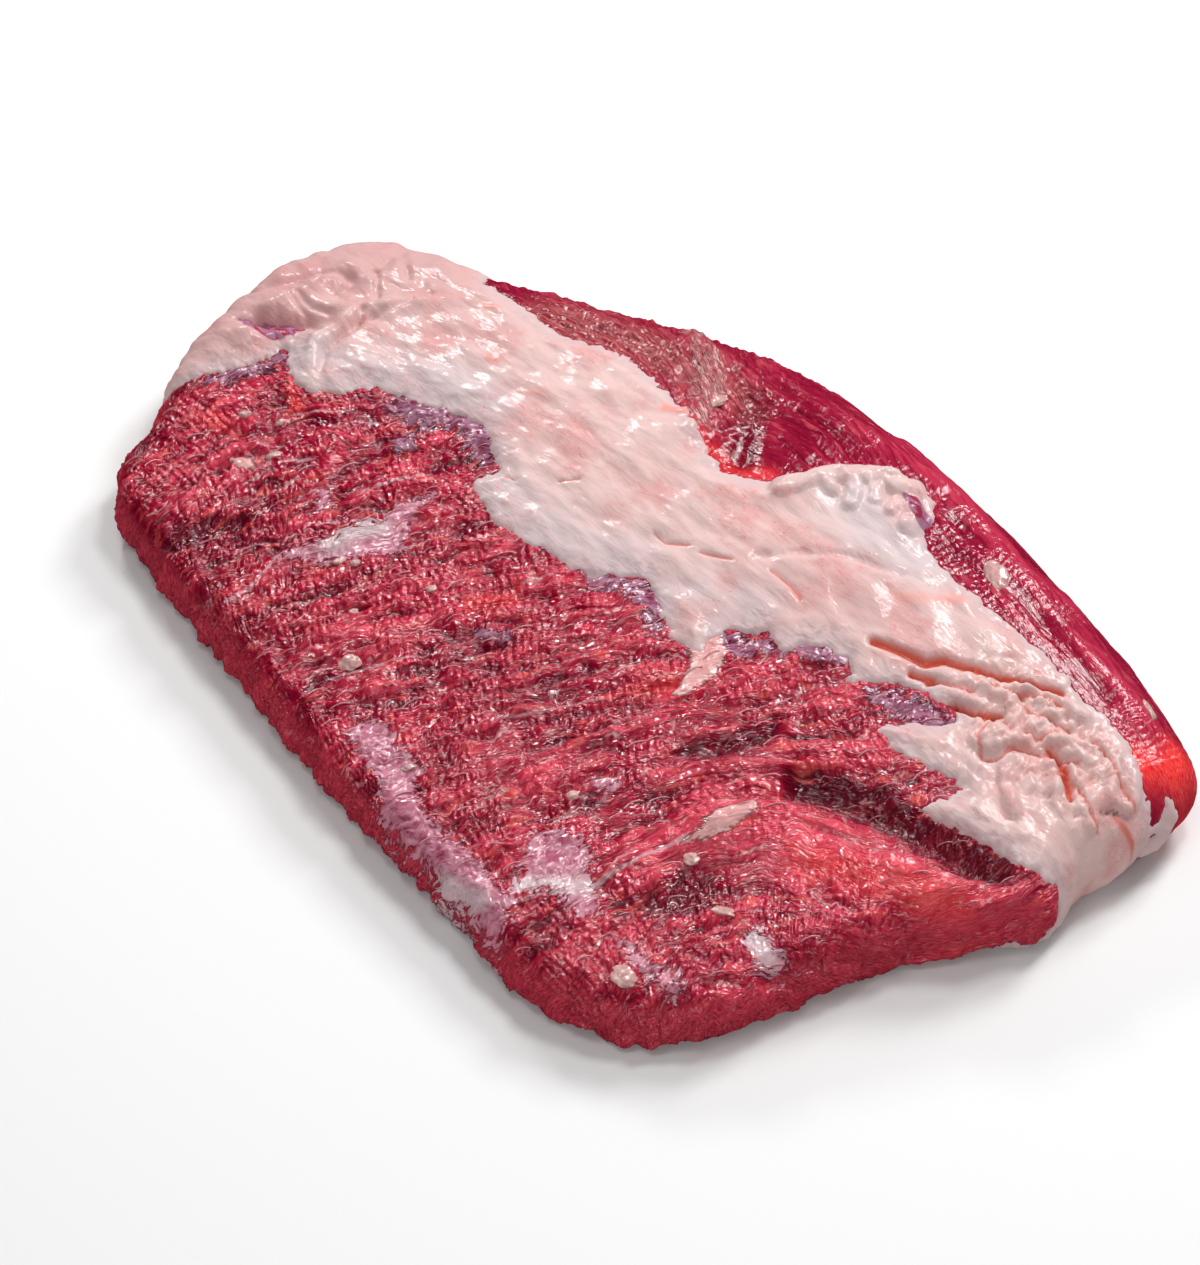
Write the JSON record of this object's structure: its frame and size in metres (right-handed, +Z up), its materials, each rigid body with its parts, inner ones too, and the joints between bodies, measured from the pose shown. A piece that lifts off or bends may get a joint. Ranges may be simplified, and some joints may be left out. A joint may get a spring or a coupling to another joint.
{
  "type": "beef brisket",
  "caption": "Whole raw beef brisket lying lean side up: flat and point muscles with the seam of hard fat between them.",
  "frame": {"origin": "middle of the piece's box, on the surface that it lies on", "axes": "+X along the length, towards the end with folded fat; +Y across the piece, from the flat to the point; +Z up"},
  "size_m": [0.4737, 0.2967, 0.0712],
  "materials": {
    "flat_lean": "moist raw lean with coarse grain",
    "hard_fat": "moist pale raw fat",
    "point_lean": "moist raw lean, smooth and glossy"
  },
  "bodies": {
    "root": {"flat_muscle": "flat_lean", "fat_seam": "hard_fat", "point_muscle": "point_lean"}
  },
  "joints": []
}
